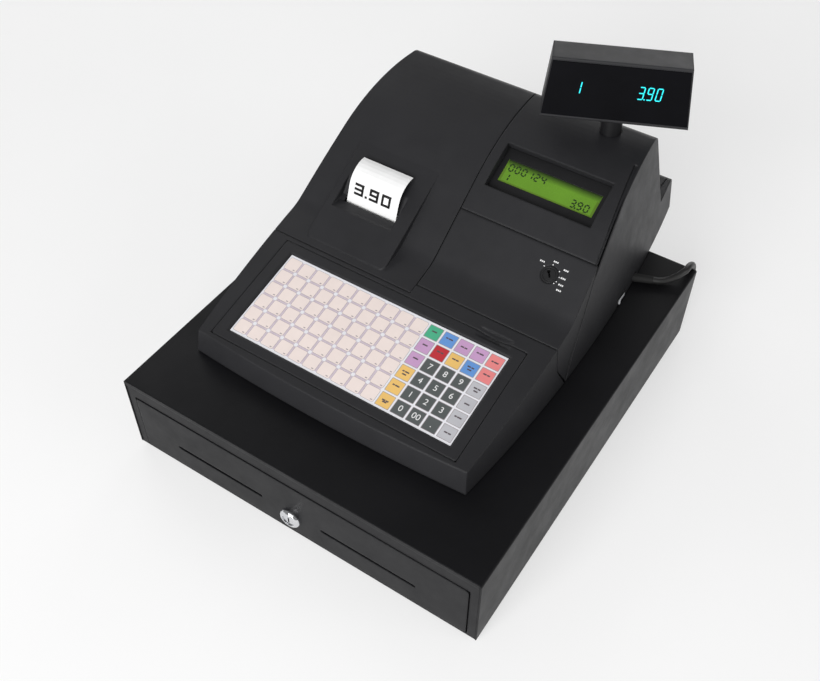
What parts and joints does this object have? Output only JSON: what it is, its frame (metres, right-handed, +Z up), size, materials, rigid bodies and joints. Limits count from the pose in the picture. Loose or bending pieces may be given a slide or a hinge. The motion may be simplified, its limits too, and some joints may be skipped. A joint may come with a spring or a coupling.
{
  "type": "electronic cash register",
  "caption": "Desktop cash register: flat-key keyboard, hinged receipt printer cover, mode lock, operator and pop-up customer displays, on a steel cash drawer with till insert",
  "frame": {"origin": "middle of the footprint, on the plane under the drawer's rubber feet", "axes": "+X to the operator's right, +Y to the back, +Z up; the drawer opens toward -Y"},
  "size_m": [0.386, 0.5535, 0.313],
  "materials": {
    "drawer_steel": "satin black powder coat",
    "inner_steel": "zinc plated",
    "chrome": "polished",
    "brass": "machined",
    "black_plastic": "fine texture",
    "case_plastic": "fine spark texture, dark grey",
    "light_plastic": "smooth light grey",
    "rubber": "matt",
    "white_film": "printed film under a satin laminate",
    "board": "solder-masked laminate",
    "display_glass": "polished dark acrylic",
    "lcd": "yellow-green liquid crystal glass",
    "paper": "thermal paper",
    "transformer": "varnished laminations"
  },
  "bodies": {
    "register_and_cabinet": {"drawer_cover": "drawer_steel", "drawer_chassis": "drawer_steel", "drawer_rails": "inner_steel", "drawer_latch_solenoid": "inner_steel", "drawer_feet": "rubber", "drawer_screws": "inner_steel", "base_case": "black_plastic", "register_feet": "rubber", "keyboard_deck": "case_plastic", "key_sheet": "white_film", "key_switch_layer": "light_plastic", "key_backplate": "inner_steel", "mode_lock_panel": "case_plastic", "mode_lock_body": "black_plastic", "right_case": "case_plastic", "lcd_frame": "black_plastic", "lcd_glass": "lcd", "left_side_panel": "case_plastic", "rear_case": "case_plastic", "paper_web": "paper", "printer_frame": "black_plastic", "print_head": "inner_steel", "paper_motor": "inner_steel", "paper_bin": "black_plastic", "main_board": "board", "power_supply": "transformer", "power_switch_bezel": "black_plastic", "mains_strain_relief": "rubber", "mains_lead": "rubber", "mains_lead_coil": "rubber", "mains_coil_tie": "rubber", "mains_plug": "black_plastic"},
    "drawer": {"drawer_box": "inner_steel", "drawer_front_panel": "drawer_steel", "drawer_lock_bezel": "chrome"},
    "drawer_key_barrel": {"drawer_lock_barrel": "chrome"},
    "front_rollers": {"drawer_front_rollers": "light_plastic"},
    "rear_rollers": {"drawer_rear_rollers": "light_plastic"},
    "latch_lever": {"drawer_latch_lever": "inner_steel"},
    "till": {"till_tray": "black_plastic", "bill_clip_rod": "inner_steel"},
    "clip_1": {"bill_clip_1": "black_plastic"},
    "clip_2": {"bill_clip_2": "black_plastic"},
    "clip_3": {"bill_clip_3": "black_plastic"},
    "clip_4": {"bill_clip_4": "black_plastic"},
    "key_frame": {"keyboard_frame": "case_plastic"},
    "mode_key_rotor": {"mode_lock_rotor": "black_plastic"},
    "cover": {"printer_cover": "case_plastic", "tear_bar": "inner_steel", "receipt_paper": "paper"},
    "platen": {"platen_roller": "rubber"},
    "pinion": {"motor_pinion": "brass"},
    "roll": {"paper_roll": "paper"},
    "pole": {"display_pole": "black_plastic"},
    "head": {"display_head": "case_plastic", "display_window": "display_glass", "display_digit_tube": "display_glass"},
    "rocker": {"power_switch_rocker": "light_plastic"}
  },
  "joints": [
    {"name": "drawer_slide", "type": "slide", "parent": "register_and_cabinet", "child": "drawer", "axis": [0, -1, 0], "range_m": [0, 0.335]},
    {"name": "drawer_key_turn", "type": "hinge", "parent": "drawer", "child": "drawer_key_barrel", "pos_m": [-0.004, -0.25, 0.028], "axis": [0, 1, 0], "range_deg": [0, 90]},
    {"name": "front_roller_turn", "type": "hinge", "parent": "register_and_cabinet", "child": "front_rollers", "pos_m": [0, -0.228, 0.0315], "axis": [1, 0, 0], "continuous": true},
    {"name": "rear_roller_turn", "type": "hinge", "parent": "drawer", "child": "rear_rollers", "pos_m": [0, 0.138, 0.0315], "axis": [1, 0, 0], "continuous": true},
    {"name": "latch_turn", "type": "hinge", "parent": "register_and_cabinet", "child": "latch_lever", "pos_m": [0.066, 0.17, 0.042], "axis": [0, 0, 1], "range_deg": [-15, 0]},
    {"name": "till_lift", "type": "slide", "parent": "drawer", "child": "till", "axis": [0, 0, 1], "range_m": [0, 0.012]},
    {"name": "clip_1_turn", "type": "hinge", "parent": "till", "child": "clip_1", "pos_m": [-0.12862, 0.071, 0.065], "axis": [-1, 0, 0], "range_deg": [0, 30], "stiffness_Nm_per_rad": 0.02, "springref_deg": -20.05},
    {"name": "clip_2_turn", "type": "hinge", "parent": "till", "child": "clip_2", "pos_m": [-0.04288, 0.071, 0.065], "axis": [-1, 0, 0], "range_deg": [0, 30], "stiffness_Nm_per_rad": 0.02, "springref_deg": -20.05},
    {"name": "clip_3_turn", "type": "hinge", "parent": "till", "child": "clip_3", "pos_m": [0.04288, 0.071, 0.065], "axis": [-1, 0, 0], "range_deg": [0, 30], "stiffness_Nm_per_rad": 0.02, "springref_deg": -20.05},
    {"name": "clip_4_turn", "type": "hinge", "parent": "till", "child": "clip_4", "pos_m": [0.12862, 0.071, 0.065], "axis": [-1, 0, 0], "range_deg": [0, 30], "stiffness_Nm_per_rad": 0.02, "springref_deg": -20.05},
    {"name": "key_frame_lift", "type": "slide", "parent": "register_and_cabinet", "child": "key_frame", "axis": [0, -0.1994, 0.9799], "range_m": [0, 0.012]},
    {"name": "mode_key_turn", "type": "hinge", "parent": "register_and_cabinet", "child": "mode_key_rotor", "pos_m": [0.102, 0.014, 0.17724], "axis": [0, -0.5606, 0.8281], "range_deg": [-100, 50]},
    {"name": "cover_hinge", "type": "hinge", "parent": "register_and_cabinet", "child": "cover", "pos_m": [-0.083, 0.168, 0.2276], "axis": [-1, 0, 0], "range_deg": [0, 70]},
    {"name": "platen_turn", "type": "hinge", "parent": "register_and_cabinet", "child": "platen", "pos_m": [-0.089, 0.002, 0.145], "axis": [1, 0, 0], "continuous": true},
    {"name": "pinion_turn", "type": "hinge", "parent": "register_and_cabinet", "child": "pinion", "pos_m": [-0.047, -0.006, 0.1374], "axis": [1, 0, 0], "continuous": true},
    {"name": "roll_turn", "type": "hinge", "parent": "register_and_cabinet", "child": "roll", "pos_m": [-0.089, 0.095, 0.154], "axis": [1, 0, 0], "continuous": true},
    {"name": "display_lift", "type": "slide", "parent": "register_and_cabinet", "child": "pole", "axis": [0, 0, 1], "range_m": [-0.016, 0]},
    {"name": "display_turn", "type": "hinge", "parent": "pole", "child": "head", "pos_m": [0.083, 0.158, 0.262], "axis": [0, 0, 1], "range_deg": [-150, 120]},
    {"name": "power_rocker", "type": "hinge", "parent": "register_and_cabinet", "child": "rocker", "pos_m": [0.14441, 0.0955, 0.1027], "axis": [0, 0, 1], "range_deg": [-14, 0]}
  ],
  "couplings": [
    {"joint": "rear_roller_turn", "follows": "drawer_slide", "rad_per_m": 98.039},
    {"joint": "front_roller_turn", "follows": "drawer_slide", "rad_per_m": 142.86},
    {"joint": "platen_turn", "follows": "roll_turn", "ratio": 4.8},
    {"joint": "pinion_turn", "follows": "roll_turn", "ratio": -10.667}
  ]
}
